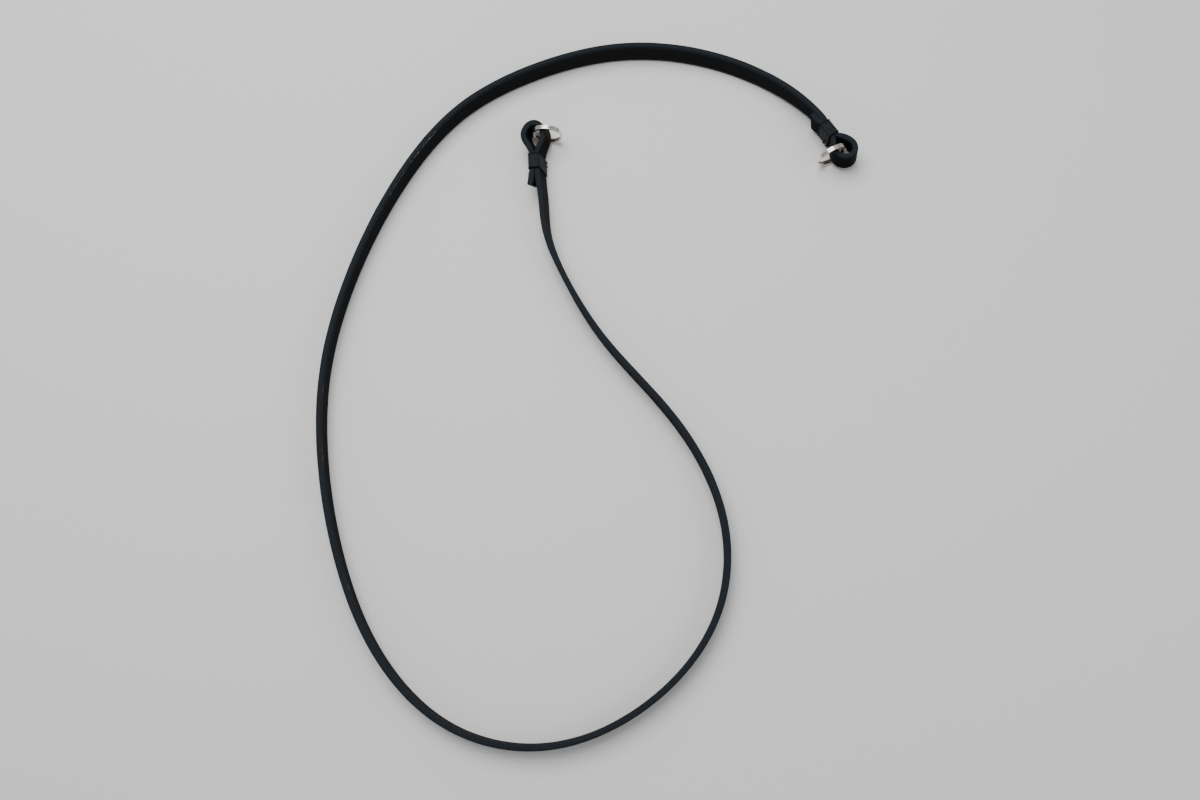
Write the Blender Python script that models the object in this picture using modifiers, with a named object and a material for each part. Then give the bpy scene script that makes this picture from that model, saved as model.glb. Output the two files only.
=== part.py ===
"""Narrow leather camera strap lying on its long edge, with an eye and a split ring at each end."""
import math
from collections import namedtuple

import bpy
import numpy as np

# Driving sizes in metres
STRAP_WIDTH = 0.0115
STRAP_THICKNESS = 0.003
EDGE_ROUNDING = 0.0006
LOOP_WIDTH = 0.270
LOOP_LENGTH = 0.358

BINDING_LENGTH = 0.0085
BINDING_WALL = 0.0004
BINDING_CLEARANCE = 0.0003
BINDING_CORNER = 0.0007
RIDGE_LENGTH = 0.0009
RIDGE_PROUD = 0.00025
PINCHED_THICKNESS = 0.00245
PLY_GAP = 0.0003

EYE_LENGTH_ROOM = 0.0094
EYE_WIDTH_ROOM = 0.0019
TAIL_SLANT = 0.0028

RING_WIRE = 0.0011
RING_COIL_GAP = 0.0001
RING_PLAY = 0.00075
RING_SEAT_GAP = 0.0003
RING_SHIFT = 0.0011
RING_STEP_DEG = 24.0

# Lengths over which one form eases into the next
EYE_EASE = 0.003
STRAP_EASE = 0.003
REACH_EASE = 0.006
RISE_RUN = 0.060

# How finely each line is divided
RUN_STEP = 0.006
END_STEP = 0.0022
EYE_PARTS = 4
ROUTE_PARTS = 24
RING_POINTS_PER_TURN = 30

# The strap's route between the two bindings, seen from above.
# Across and along are shares of LOOP_WIDTH and LOOP_LENGTH from the middle of the loop.
# Lean is in degrees, and positive where the upper edge tips to the left of the route.
RouteRow = namedtuple("RouteRow", "across along lean")
ROUTE = (
    RouteRow(-0.0985, 0.2660, -12.0),
    RouteRow(-0.0895, 0.2085, -8.0),
    RouteRow(-0.0610, 0.1510, -6.0),
    RouteRow(0.0200, 0.0482, -4.0),
    RouteRow(0.1442, -0.0620, -1.0),
    RouteRow(0.2385, -0.2225, 0.0),
    RouteRow(0.2263, -0.3173, 0.0),
    RouteRow(0.0915, -0.4468, 0.0),
    RouteRow(-0.0834, -0.4964, 0.0),
    RouteRow(-0.2353, -0.4732, 0.0),
    RouteRow(-0.3723, -0.3772, 0.0),
    RouteRow(-0.4466, -0.2580, 0.0),
    RouteRow(-0.4892, -0.1210, 0.0),
    RouteRow(-0.4960, 0.0020, 0.0),
    RouteRow(-0.4590, 0.1410, 1.5),
    RouteRow(-0.3768, 0.2874, 4.5),
    RouteRow(-0.2546, 0.4062, 6.0),
    RouteRow(-0.1290, 0.4615, 7.0),
    RouteRow(0.0494, 0.4963, 8.5),
    RouteRow(0.2140, 0.4839, 8.0),
    RouteRow(0.3760, 0.4235, 3.0),
)

# The two eyes in their binding's own frame, from the strap's own ply round to the tail.
# Out is a share of EYE_LENGTH from the binding's far rim, aside a share of EYE_WIDTH to the tail.
EyeRow = namedtuple("EyeRow", "out aside")
LEFT_EYE = (
    EyeRow(0.200, -0.220),
    EyeRow(0.400, -0.390),
    EyeRow(0.571, -0.460),
    EyeRow(0.731, -0.445),
    EyeRow(0.891, -0.340),
    EyeRow(0.989, -0.090),
    EyeRow(0.971, 0.170),
    EyeRow(0.851, 0.400),
    EyeRow(0.663, 0.530),
    EyeRow(0.457, 0.475),
    EyeRow(0.263, 0.290),
)
RIGHT_EYE = (
    EyeRow(0.154, -0.310),
    EyeRow(0.309, -0.490),
    EyeRow(0.491, -0.570),
    EyeRow(0.651, -0.495),
    EyeRow(0.760, -0.280),
    EyeRow(0.783, 0.000),
    EyeRow(0.709, 0.280),
    EyeRow(0.571, 0.430),
    EyeRow(0.400, 0.465),
    EyeRow(0.251, 0.360),
    EyeRow(0.120, 0.205),
)

# Both folded ends. Across and along place the binding's middle line where the strap enters it,
# heading points from there to the eye, and turn is 1 where the eye curls to the right of heading.
# The eye's lower edge reaches out further than its upper edge by lower reach.
# The ring goes round the ply at ring row of the eye, and ring bearing is the ring's own direction.
StrapEnd = namedtuple(
    "StrapEnd",
    "name across along heading turn lean eye lower_reach tail tail_spread ring_row ring_bearing",
)
ENDS = (
    StrapEnd("left", -0.109, 0.299, 93.1, -1, -14.0, LEFT_EYE, 0.0025, 0.0078, 0.0014, 3, -5.0),
    StrapEnd("right", 0.439, 0.368, -55.9, 1, -3.4, RIGHT_EYE, 0.0010, 0.0072, 0.0002, 8, 206.0),
)

PLY_OFFSET = (PINCHED_THICKNESS + PLY_GAP) / 2
RING_PITCH = RING_WIRE + RING_COIL_GAP
RING_INNER_RADIUS = math.hypot(STRAP_WIDTH / 2 + RING_PLAY, STRAP_THICKNESS / 2 + RING_SHIFT)
RING_LINE_RADIUS = RING_INNER_RADIUS + RING_WIRE / 2
RING_OUTER_RADIUS = RING_INNER_RADIUS + RING_WIRE
EYE_LENGTH = RING_OUTER_RADIUS + EYE_LENGTH_ROOM
EYE_WIDTH = RING_OUTER_RADIUS + EYE_WIDTH_ROOM

Pair = namedtuple("Pair", "lower upper pinch")


def clear_scene():
    for item in list(bpy.data.objects):
        bpy.data.objects.remove(item, do_unlink=True)


def make_material(name, color, roughness, metallic):
    material = bpy.data.materials.new(name)
    material.use_nodes = True
    shader = material.node_tree.nodes["Principled BSDF"]
    shader.inputs["Base Color"].default_value = (*color, 1.0)
    shader.inputs["Roughness"].default_value = roughness
    shader.inputs["Metallic"].default_value = metallic
    return material


def ease(share):
    share = min(max(share, 0.0), 1.0)
    return share * share * (3 - 2 * share)


def direction(degrees):
    angle = math.radians(degrees)
    return np.array([math.cos(angle), math.sin(angle)])


def left_of(vector):
    return np.array([-vector[1], vector[0]])


def plan_point(row):
    return np.array([row.across * LOOP_WIDTH, row.along * LOOP_LENGTH])


def end_rise():
    """Height of the strap's lowest corner where it rides on the standing ring's wire."""
    reach = RING_INNER_RADIUS - RING_SEAT_GAP
    return RING_OUTER_RADIUS - math.sqrt(reach ** 2 - (STRAP_THICKNESS / 2 + RING_SHIFT) ** 2)


def spline_slopes(at, points, first, last):
    """Slopes at the points of the smooth cubic curve that has the given slopes at its ends."""
    count = len(at)
    steps = np.diff(at)
    system = np.eye(count)
    right_side = np.zeros_like(points)
    right_side[0], right_side[-1] = first, last
    for i in range(1, count - 1):
        before, after = steps[i - 1], steps[i]
        system[i, i - 1:i + 2] = after, 2 * (before + after), before
        rise_before = (points[i] - points[i - 1]) / before
        rise_after = (points[i + 1] - points[i]) / after
        right_side[i] = 3 * (after * rise_before + before * rise_after)
    return np.linalg.solve(system, right_side)


def spline_points(points, first, last, parts):
    """Points along the smooth curve through the rows, with the given directions at its ends."""
    at = np.concatenate([[0], np.cumsum(np.hypot(*np.diff(points[:, :2], axis=0).T))])
    slopes = spline_slopes(at, points, first, last)
    line = []
    for i, span in enumerate(np.diff(at)):
        for s in np.linspace(0, 1, parts, endpoint=False):
            line.append(
                (1 + 2 * s) * (1 - s) ** 2 * points[i]
                + s * (1 - s) ** 2 * span * slopes[i]
                + s * s * (3 - 2 * s) * points[i + 1]
                - s * s * (1 - s) * span * slopes[i + 1]
            )
    line.append(points[-1])
    return np.array(line)


def distances(line):
    """Distance from the start to every point of a line, seen from above."""
    return np.concatenate([[0], np.cumsum(np.hypot(*np.diff(line[:, :2], axis=0).T))])


class Route:
    """The strap's middle line between the bindings, read by its distance from the left one."""

    def __init__(self):
        left, right = ENDS
        rows = [self.joint(left)] + [(*plan_point(row), row.lean) for row in ROUTE] + [self.joint(right)]
        first = np.array([*-direction(left.heading), 0.0])
        last = np.array([*direction(right.heading), 0.0])
        self.line = spline_points(np.array(rows), first, last, ROUTE_PARTS)
        self.distance = distances(self.line)
        self.length = self.distance[-1]

    @staticmethod
    def joint(end):
        """Where the strap's own ply enters a binding, with the lean that it has there."""
        side = -end.turn * -left_of(direction(end.heading))
        return (*(plan_point(end) + PLY_OFFSET * side), end.lean)

    def read(self, distance):
        """Plan position, left-hand side and lean at a distance, past the ends in a straight line."""
        inside = min(max(distance, 0.0), self.length)
        x, y, lean = (np.interp(inside, self.distance, self.line[:, k]) for k in range(3))
        probe = min(max(inside, END_STEP / 2), self.length - END_STEP / 2)
        span = [
            [np.interp(probe + step, self.distance, self.line[:, k]) for k in range(2)]
            for step in (-END_STEP / 2, END_STEP / 2)
        ]
        ahead = np.subtract(span[1], span[0])
        ahead /= np.linalg.norm(ahead)
        return np.array([x, y]) + (distance - inside) * ahead, left_of(ahead), lean


def edge_point(plan, side, lean, lift, at_top):
    """A point on the strap's lower or upper edge line, with the strap leaning about its middle."""
    angle = math.radians(lean)
    half = STRAP_WIDTH / 2 * (1 if at_top else -1)
    shifted = plan + half * math.sin(angle) * side
    bottom = lift + STRAP_THICKNESS / 2 * abs(math.sin(angle))
    return (*shifted, bottom + (STRAP_WIDTH * math.cos(angle) if at_top else 0.0))


def edge_pair(plan, side, lean, lift, pinch):
    return Pair(edge_point(plan, side, lean, lift, False), edge_point(plan, side, lean, lift, True), pinch)


def pinch_at(distance, ease_length):
    """Share of the full thickness left at a distance from the binding."""
    pinched = PINCHED_THICKNESS / STRAP_THICKNESS
    return pinched + (1 - pinched) * ease(distance / ease_length)


def run_pairs(route):
    """The long stretch between the bindings, which rises onto the rings at both ends."""
    pairs = []
    near = np.linspace(0, STRAP_EASE, 3, endpoint=False)
    middle = np.linspace(STRAP_EASE, route.length - STRAP_EASE, round(route.length / RUN_STEP))
    for distance in [*near, *middle, *(route.length - near[::-1])]:
        plan, side, lean = route.read(distance)
        to_binding = min(distance, route.length - distance)
        lift = end_rise() * (1 - ease(to_binding / RISE_RUN))
        pairs.append(edge_pair(plan, side, lean, lift, pinch_at(to_binding, STRAP_EASE)))
    return pairs


def eye_frame(end):
    """The plan directions outward and towards the tail at an end."""
    ahead = direction(end.heading)
    return ahead, -left_of(ahead) * end.turn


def eye_rows(end):
    """The eye's rows from rim to rim, outward and aside, in metres from the binding's near rim."""
    rows = [(0, -PLY_OFFSET)]
    rows += [(row.out * EYE_LENGTH, row.aside * EYE_WIDTH) for row in end.eye]
    rows += [(0, PLY_OFFSET)]
    return np.array(rows) + (BINDING_LENGTH, 0)


def end_outline(end):
    """The folded end in the binding's own frame: outward, aside and pinch, from strap to tail."""
    eye = spline_points(eye_rows(end), np.array([1.0, 0.0]), np.array([-1.0, 0.0]), EYE_PARTS)
    past = distances(eye)
    from_rim = np.minimum(past, past[-1] - past)
    outline = [(out, aside, pinch_at(rim, EYE_EASE)) for (out, aside), rim in zip(eye, from_rim)]
    inside = [(share * BINDING_LENGTH, PLY_OFFSET, pinch_at(0, EYE_EASE)) for share in (0, 0.5)]
    return [(out, -aside, pinch) for out, aside, pinch in inside] + outline + inside[::-1]


def ring_middle(end):
    """Where the ring stands, a little outside the ply that it goes round."""
    ahead, aside = eye_frame(end)
    before, at, after = eye_rows(end)[end.ring_row:end.ring_row + 3]
    along = (after - before) / np.linalg.norm(after - before)
    out, shift = at + RING_SHIFT * left_of(along) * -1
    return plan_point(end) + out * ahead + shift * aside


def lean_side(end):
    """The left-hand side of the strap's route at an end, towards which a positive lean tips it."""
    along_route = direction(end.heading) * end.turn
    return left_of(along_route)


def end_pairs(end, route):
    """One folded end from the strap's own ply, round the eye, back through the binding to the tail."""
    ahead, aside = eye_frame(end)
    pairs = []
    for out, shift, pinch in end_outline(end):
        plan = plan_point(end) + out * ahead + shift * aside
        upper = edge_point(plan, lean_side(end), end.lean, end_rise(), True)
        reach = end.lower_reach * ease((out - BINDING_LENGTH) / REACH_EASE)
        lower = edge_point(plan + reach * ahead, lean_side(end), end.lean, end_rise(), False)
        pairs.append(Pair(lower, upper, pinch))
    steps = max(3, round(end.tail / END_STEP))
    for share in np.linspace(0, 1, steps + 1)[1:]:
        edges = []
        for length, at_top in ((end.tail - TAIL_SLANT, False), (end.tail, True)):
            distance = share * length
            at = distance if end.turn < 0 else route.length - distance
            plan, side, lean = route.read(at)
            pinch = pinch_at(distance, STRAP_EASE)
            spread = end.tail_spread * (distance / end.tail) ** 2
            beside = pinch * STRAP_THICKNESS + PLY_GAP + spread
            lift = end_rise() * (1 - ease(distance / RISE_RUN))
            edges.append(edge_point(plan - beside * side, side, lean, lift, at_top))
        pairs.append(Pair(*edges, pinch_at(share * end.tail, STRAP_EASE)))
    return pairs


def strap_pairs(route):
    left, right = ENDS
    return end_pairs(left, route)[::-1] + run_pairs(route)[1:-1] + end_pairs(right, route)


def middle_shift(pairs):
    """Moves the strap's outline so that its middle stands over the origin."""
    points = np.array([point[:2] for pair in pairs for point in (pair.lower, pair.upper)])
    return -(points.min(axis=0) + points.max(axis=0)) / 2


def make_shell(name, rows, weights, thickness, offset, closed, material, collection):
    """An open surface through rows of points, given a wall whose thickness follows the weights."""
    width = len(rows[0])
    vertices = [tuple(point) for row in rows for point in row]
    columns = width if closed else width - 1
    faces = []
    for i in range(len(rows) - 1):
        for j in range(columns):
            k = (j + 1) % width
            faces.append((i * width + j, i * width + k, (i + 1) * width + k, (i + 1) * width + j))
    mesh = bpy.data.meshes.new(name)
    mesh.from_pydata(vertices, [], faces)
    mesh.materials.append(material)
    shell = bpy.data.objects.new(name, mesh)
    collection.objects.link(shell)
    group = shell.vertex_groups.new(name="wall")
    for i, weight in enumerate(weights):
        group.add(range(i * width, (i + 1) * width), weight, "REPLACE")
    wall = shell.modifiers.new("wall", "SOLIDIFY")
    wall.thickness = thickness
    wall.offset = offset
    wall.use_even_offset = True
    wall.vertex_group = "wall"
    wall.thickness_vertex_group = 0.0
    mesh.shade_smooth()
    mesh.set_sharp_from_angle(angle=math.radians(35))
    return shell


def make_strap(pairs, shift, material, collection):
    """One band of leather, standing on its long edge, with rounded edges all the way."""
    rows = []
    for pair in pairs:
        rows.append([(x + shift[0], y + shift[1], z) for x, y, z in (pair.lower, pair.upper)])
    weights = [pair.pinch for pair in pairs]
    strap = make_shell("strap", rows, weights, STRAP_THICKNESS, 0.0, False, material, collection)
    rounding = strap.modifiers.new("edge rounding", "BEVEL")
    rounding.width = EDGE_ROUNDING
    rounding.segments = 1
    rounding.limit_method = "ANGLE"
    rounding.angle_limit = math.radians(40)
    rounding.use_clamp_overlap = False
    return strap


def rounded_section(half_across, half_up, corner, corner_points=3):
    """Points of a rectangle with round corners, counter-clockwise from its lower right corner."""
    points = []
    for quarter, (sx, sy) in enumerate(((1, -1), (1, 1), (-1, 1), (-1, -1))):
        for angle in np.linspace(0, math.pi / 2, corner_points):
            turn = angle + (quarter - 1) * math.pi / 2
            across = sx * (half_across - corner) + corner * math.cos(turn)
            up = sy * (half_up - corner) + corner * math.sin(turn)
            points.append((across, up))
    return points


def make_binding(end, shift, material, collection):
    """The wound band that holds the folded ply against the strap, with a ridge at each rim."""
    lean = math.radians(end.lean)
    half_across = PINCHED_THICKNESS + PLY_GAP / 2 + BINDING_CLEARANCE
    half_strap = STRAP_WIDTH / 2 * math.cos(lean)
    half_up = half_strap + STRAP_THICKNESS / 2 * abs(math.sin(lean)) + BINDING_CLEARANCE
    section = rounded_section(half_across, half_up, BINDING_CORNER)
    middle_height = end_rise() + STRAP_THICKNESS / 2 * abs(math.sin(lean)) + half_strap
    tip = math.tan(lean) * end.turn
    slope = BINDING_WALL / 2
    stations = (
        (0.0, True),
        (RIDGE_LENGTH, True),
        (RIDGE_LENGTH + slope, False),
        (BINDING_LENGTH - RIDGE_LENGTH - slope, False),
        (BINDING_LENGTH - RIDGE_LENGTH, True),
        (BINDING_LENGTH, True),
    )
    full = BINDING_WALL + RIDGE_PROUD
    rows = [[(out, across + up * tip, up) for across, up in section] for out, _ in stations]
    weights = [1.0 if ridge else BINDING_WALL / full for _, ridge in stations]
    binding = make_shell("binding_" + end.name, rows, weights, full, 1.0, True, material, collection)
    binding.location = (*(plan_point(end) + shift), middle_height)
    binding.rotation_euler = (0.0, 0.0, math.radians(end.heading))
    return binding


def ring_points():
    """Two flat turns side by side, with one short step from the first to the second."""
    step = math.radians(RING_STEP_DEG)
    turns = np.linspace(step, 4 * math.pi - step, 2 * RING_POINTS_PER_TURN + 1)
    points = []
    for angle in turns:
        share = (angle - 2 * math.pi + step) / (2 * step)
        aside = RING_PITCH * (ease(share) - 0.5)
        points.append((RING_LINE_RADIUS * math.cos(angle), aside, RING_LINE_RADIUS * math.sin(angle)))
    return points


def make_ring(end, shift, material, collection):
    """A split ring that stands on the ground round one ply of the eye."""
    curve = bpy.data.curves.new("split_ring_" + end.name, "CURVE")
    curve.dimensions = "3D"
    curve.bevel_depth = RING_WIRE / 2
    curve.bevel_resolution = 2
    curve.use_fill_caps = True
    points = ring_points()
    spline = curve.splines.new("POLY")
    spline.points.add(len(points) - 1)
    for slot, point in zip(spline.points, points):
        slot.co = (*point, 1.0)
    spline.use_smooth = True
    curve.materials.append(material)
    ring = bpy.data.objects.new("split_ring_" + end.name, curve)
    collection.objects.link(ring)
    ring.location = (*(ring_middle(end) + shift), RING_OUTER_RADIUS)
    ring.rotation_euler = (0.0, 0.0, math.radians(end.ring_bearing))
    return ring


def main():
    clear_scene()
    collection = bpy.data.collections.new("camera_strap")
    bpy.context.scene.collection.children.link(collection)
    leather = make_material("black_leather", (0.014, 0.014, 0.016), 0.5, 0.0)
    thread = make_material("black_thread", (0.02, 0.021, 0.023), 0.6, 0.0)
    nickel = make_material("nickel_steel", (0.62, 0.59, 0.56), 0.22, 1.0)
    route = Route()
    pairs = strap_pairs(route)
    shift = middle_shift(pairs)
    pieces = [make_strap(pairs, shift, leather, collection)]
    for end in ENDS:
        pieces.append(make_binding(end, shift, thread, collection))
        pieces.append(make_ring(end, shift, nickel, collection))
    holder = bpy.data.objects.new("camera_strap", None)
    collection.objects.link(holder)
    for piece in pieces:
        piece.parent = holder


main()
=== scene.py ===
# %% [markdown]
# # A narrow leather camera strap
#
# The strap is one long band of black leather that stands on its edge in an open loop. Each end is
# folded back into a small eye, bound with waxed thread, and carries a bright split ring. The packed
# model holds these five pieces as plain solids. This file gives each one the surface that the hand
# and the eye expect: burnished edges, grain, wound thread and polished wire.

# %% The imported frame
import math
from collections import namedtuple

import bpy
import numpy as np
from mathutils import Matrix, Vector


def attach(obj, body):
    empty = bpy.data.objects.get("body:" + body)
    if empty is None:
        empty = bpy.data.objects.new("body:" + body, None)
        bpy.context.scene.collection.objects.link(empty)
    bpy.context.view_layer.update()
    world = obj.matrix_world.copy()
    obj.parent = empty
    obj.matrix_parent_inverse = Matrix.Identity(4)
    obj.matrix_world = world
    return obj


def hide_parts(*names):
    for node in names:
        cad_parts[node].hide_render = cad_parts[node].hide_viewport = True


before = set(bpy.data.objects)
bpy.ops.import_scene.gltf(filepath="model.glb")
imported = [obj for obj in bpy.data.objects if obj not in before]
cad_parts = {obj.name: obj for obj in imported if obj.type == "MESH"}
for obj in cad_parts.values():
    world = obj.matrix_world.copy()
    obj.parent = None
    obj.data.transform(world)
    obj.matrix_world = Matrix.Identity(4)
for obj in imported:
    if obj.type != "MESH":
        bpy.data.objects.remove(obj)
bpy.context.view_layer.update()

# %% [markdown]
# ## The camera
#
# The view is from above and a little from the front, with the lens tipped a few degrees to one
# side. A camera could be aimed at a target with a constraint, but its own three axes say exactly
# how it is held, so they are worked out and written into its matrix.

# %% Camera
LENS_MM = 33.0
SENSOR_MM = 36.0
CAMERA_AT = (0.0234, -0.1455, 0.5314)
CAMERA_TILT_DEG = 14.0
CAMERA_SIDE_TILT_DEG = 2.083


def make_camera():
    tilt = math.radians(CAMERA_TILT_DEG)
    side_tilt = math.radians(CAMERA_SIDE_TILT_DEG)
    level = Vector((1, 0, 0))
    down = Vector((0, math.sin(tilt), -math.cos(tilt)))
    ahead = math.cos(side_tilt) * down - math.sin(side_tilt) * level
    right = math.cos(side_tilt) * level + math.sin(side_tilt) * down
    axes = Matrix((right, right.cross(ahead), -ahead)).transposed()
    lens = bpy.data.cameras.new("camera")
    lens.lens = LENS_MM
    lens.sensor_width = SENSOR_MM
    camera = bpy.data.objects.new("camera", lens)
    bpy.context.scene.collection.objects.link(camera)
    camera.matrix_world = Matrix.Translation(CAMERA_AT) @ axes.to_4x4()
    bpy.context.scene.camera = camera


make_camera()
print("camera at, mm:", [round(value * 1000) for value in CAMERA_AT])

# %% [markdown]
# ## The strap's route
#
# The band runs from the left binding down through an S, round the foot of the loop and up over the
# top to the right binding. A soft thing like this has no formula, so its route is a short list of
# rows, and a smooth curve goes through them. The two folded ends have a list each, in
# the binding's own frame. The rows hold shares of named sizes, so that the shape can be rescaled.

# %% Sizes of the strap
STRAP_WIDTH = 0.0115
STRAP_THICKNESS = 0.003
PINCHED_THICKNESS = 0.00245
PLY_GAP = 0.0003
LOOP_WIDTH = 0.270
LOOP_LENGTH = 0.358
BINDING_LENGTH = 0.0085
EYE_LENGTH_ROOM = 0.0094
EYE_WIDTH_ROOM = 0.0019
TAIL_SLANT = 0.0028
RING_WIRE = 0.0011
RING_COIL_GAP = 0.0001
RING_PLAY = 0.00075
RING_SEAT_GAP = 0.0003
RING_SHIFT = 0.0011
RING_STEP_DEG = 24.0
EYE_EASE = 0.003
STRAP_EASE = 0.003
REACH_EASE = 0.006
RISE_RUN = 0.060
PLY_OFFSET = (PINCHED_THICKNESS + PLY_GAP) / 2
RING_INNER_RADIUS = math.hypot(STRAP_WIDTH / 2 + RING_PLAY, STRAP_THICKNESS / 2 + RING_SHIFT)
RING_LINE_RADIUS = RING_INNER_RADIUS + RING_WIRE / 2
RING_OUTER_RADIUS = RING_INNER_RADIUS + RING_WIRE
EYE_LENGTH = RING_OUTER_RADIUS + EYE_LENGTH_ROOM
EYE_WIDTH = RING_OUTER_RADIUS + EYE_WIDTH_ROOM
print("eye, mm:", round(EYE_LENGTH * 1000, 1), "long,", round(EYE_WIDTH * 1000, 1), "wide")

# %% The route's rows
# Across and along are shares of the loop from its middle. Lean is in degrees to the route's left.
RouteRow = namedtuple("RouteRow", "across along lean")
ROUTE = (
    RouteRow(-0.0985, 0.2660, -12.0),
    RouteRow(-0.0895, 0.2085, -8.0),
    RouteRow(-0.0610, 0.1510, -6.0),
    RouteRow(0.0200, 0.0482, -4.0),
    RouteRow(0.1442, -0.0620, -1.0),
    RouteRow(0.2385, -0.2225, 0.0),
    RouteRow(0.2263, -0.3173, 0.0),
    RouteRow(0.0915, -0.4468, 0.0),
    RouteRow(-0.0834, -0.4964, 0.0),
    RouteRow(-0.2353, -0.4732, 0.0),
    RouteRow(-0.3723, -0.3772, 0.0),
    RouteRow(-0.4466, -0.2580, 0.0),
    RouteRow(-0.4892, -0.1210, 0.0),
    RouteRow(-0.4960, 0.0020, 0.0),
    RouteRow(-0.4590, 0.1410, 1.5),
    RouteRow(-0.3768, 0.2874, 4.5),
    RouteRow(-0.2546, 0.4062, 6.0),
    RouteRow(-0.1290, 0.4615, 7.0),
    RouteRow(0.0494, 0.4963, 8.5),
    RouteRow(0.2140, 0.4839, 8.0),
    RouteRow(0.3760, 0.4235, 3.0),
)

# %% The rows of the two eyes
# Out is a share of the eye's length from the binding's far rim, aside one of its width to the tail.
EyeRow = namedtuple("EyeRow", "out aside")
LEFT_EYE = (
    EyeRow(0.200, -0.220),
    EyeRow(0.400, -0.390),
    EyeRow(0.571, -0.460),
    EyeRow(0.731, -0.445),
    EyeRow(0.891, -0.340),
    EyeRow(0.989, -0.090),
    EyeRow(0.971, 0.170),
    EyeRow(0.851, 0.400),
    EyeRow(0.663, 0.530),
    EyeRow(0.457, 0.475),
    EyeRow(0.263, 0.290),
)
RIGHT_EYE = (
    EyeRow(0.154, -0.310),
    EyeRow(0.309, -0.490),
    EyeRow(0.491, -0.570),
    EyeRow(0.651, -0.495),
    EyeRow(0.760, -0.280),
    EyeRow(0.783, 0.000),
    EyeRow(0.709, 0.280),
    EyeRow(0.571, 0.430),
    EyeRow(0.400, 0.465),
    EyeRow(0.251, 0.360),
    EyeRow(0.120, 0.205),
)

# %% The two folded ends
# Heading points to the eye, and turn is 1 where the eye curls to the right of heading. The lower
# edge reaches out further than the upper one by lower reach. The ring hangs at ring row of the eye.
StrapEnd = namedtuple(
    "StrapEnd",
    "name across along heading turn lean eye lower_reach tail tail_spread ring_row ring_bearing",
)
ENDS = (
    StrapEnd("left", -0.109, 0.299, 93.1, -1, -14.0, LEFT_EYE, 0.0025, 0.0078, 0.0014, 3, -5.0),
    StrapEnd("right", 0.439, 0.368, -55.9, 1, -3.4, RIGHT_EYE, 0.0010, 0.0072, 0.0002, 8, 206.0),
)


# %% [markdown]
# ## From rows to a smooth line
#
# A cubic spline passes through every row, and its bend changes without a jump, which is how a
# springy band behaves. Blender's Bezier handles could do this too, but the spline needs nothing
# given except the direction at each end.

# %% Smooth lines
def ease(share):
    share = min(max(share, 0.0), 1.0)
    return share * share * (3 - 2 * share)


def direction(degrees):
    angle = math.radians(degrees)
    return np.array([math.cos(angle), math.sin(angle)])


def left_of(vector):
    return np.array([-vector[1], vector[0]])


def distances(line):
    """Distance from the start to every point of a line, seen from above."""
    return np.concatenate([[0], np.cumsum(np.hypot(*np.diff(line[:, :2], axis=0).T))])


def spline_slopes(at, points, first, last):
    """Slopes of the smooth cubic curve through the points, with given slopes at its ends."""
    count = len(at)
    steps = np.diff(at)
    system = np.eye(count)
    right_side = np.zeros_like(points)
    right_side[0], right_side[-1] = first, last
    for i in range(1, count - 1):
        before, after = steps[i - 1], steps[i]
        system[i, i - 1:i + 2] = after, 2 * (before + after), before
        rise_before = (points[i] - points[i - 1]) / before
        rise_after = (points[i + 1] - points[i]) / after
        right_side[i] = 3 * (after * rise_before + before * rise_after)
    return np.linalg.solve(system, right_side)


def spline_points(points, first, last, parts):
    """Points along the smooth curve through the rows, a few for each span."""
    at = distances(points)
    slopes = spline_slopes(at, points, first, last)
    line = []
    for i, span in enumerate(np.diff(at)):
        for s in np.linspace(0, 1, parts, endpoint=False):
            line.append(
                (1 + 2 * s) * (1 - s) ** 2 * points[i]
                + s * (1 - s) ** 2 * span * slopes[i]
                + s * s * (3 - 2 * s) * points[i + 1]
                - s * s * (1 - s) * span * slopes[i + 1]
            )
    line.append(points[-1])
    return np.array(line)


# %% The long run between the bindings
ROUTE_PARTS = 24
READ_STEP = 0.0022


def plan_point(row):
    return np.array([row.across * LOOP_WIDTH, row.along * LOOP_LENGTH])


class Route:
    """The strap's middle line between the bindings, read by its distance from the left one."""

    def __init__(self):
        left, right = ENDS
        rows = [self.joint(left)] + [(*plan_point(row), row.lean) for row in ROUTE] + [self.joint(right)]
        first = np.array([*-direction(left.heading), 0.0])
        last = np.array([*direction(right.heading), 0.0])
        self.line = spline_points(np.array(rows), first, last, ROUTE_PARTS)
        self.distance = distances(self.line)
        self.length = self.distance[-1]

    @staticmethod
    def joint(end):
        """Where the strap's own ply enters a binding, with the lean that it has there."""
        side = -end.turn * -left_of(direction(end.heading))
        return (*(plan_point(end) + PLY_OFFSET * side), end.lean)

    def read(self, distance):
        """Plan position, left-hand side and lean at a distance, past the ends in a straight line."""
        inside = min(max(distance, 0.0), self.length)
        x, y, lean = (np.interp(inside, self.distance, self.line[:, k]) for k in range(3))
        probe = min(max(inside, READ_STEP / 2), self.length - READ_STEP / 2)
        span = [
            [np.interp(probe + step, self.distance, self.line[:, k]) for k in range(2)]
            for step in (-READ_STEP / 2, READ_STEP / 2)
        ]
        ahead = np.subtract(span[1], span[0])
        ahead /= np.linalg.norm(ahead)
        return np.array([x, y]) + (distance - inside) * ahead, left_of(ahead), lean


ROUTE_LINE = Route()
print("strap between its bindings, mm:", round(ROUTE_LINE.length * 1000))

# %% [markdown]
# ## Lower and upper edge
#
# A curve with a flat bevel would keep the band's width and square cut all along. So the band is
# carried along as a pair of points, one on its lower edge and one on its upper edge. That pair
# holds the lean, the slanted cut of the tail and the slight cone of each eye.

# %% Edge pairs
EdgePair = namedtuple("EdgePair", "lower upper pinch zone past", defaults=(0.0,))


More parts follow.
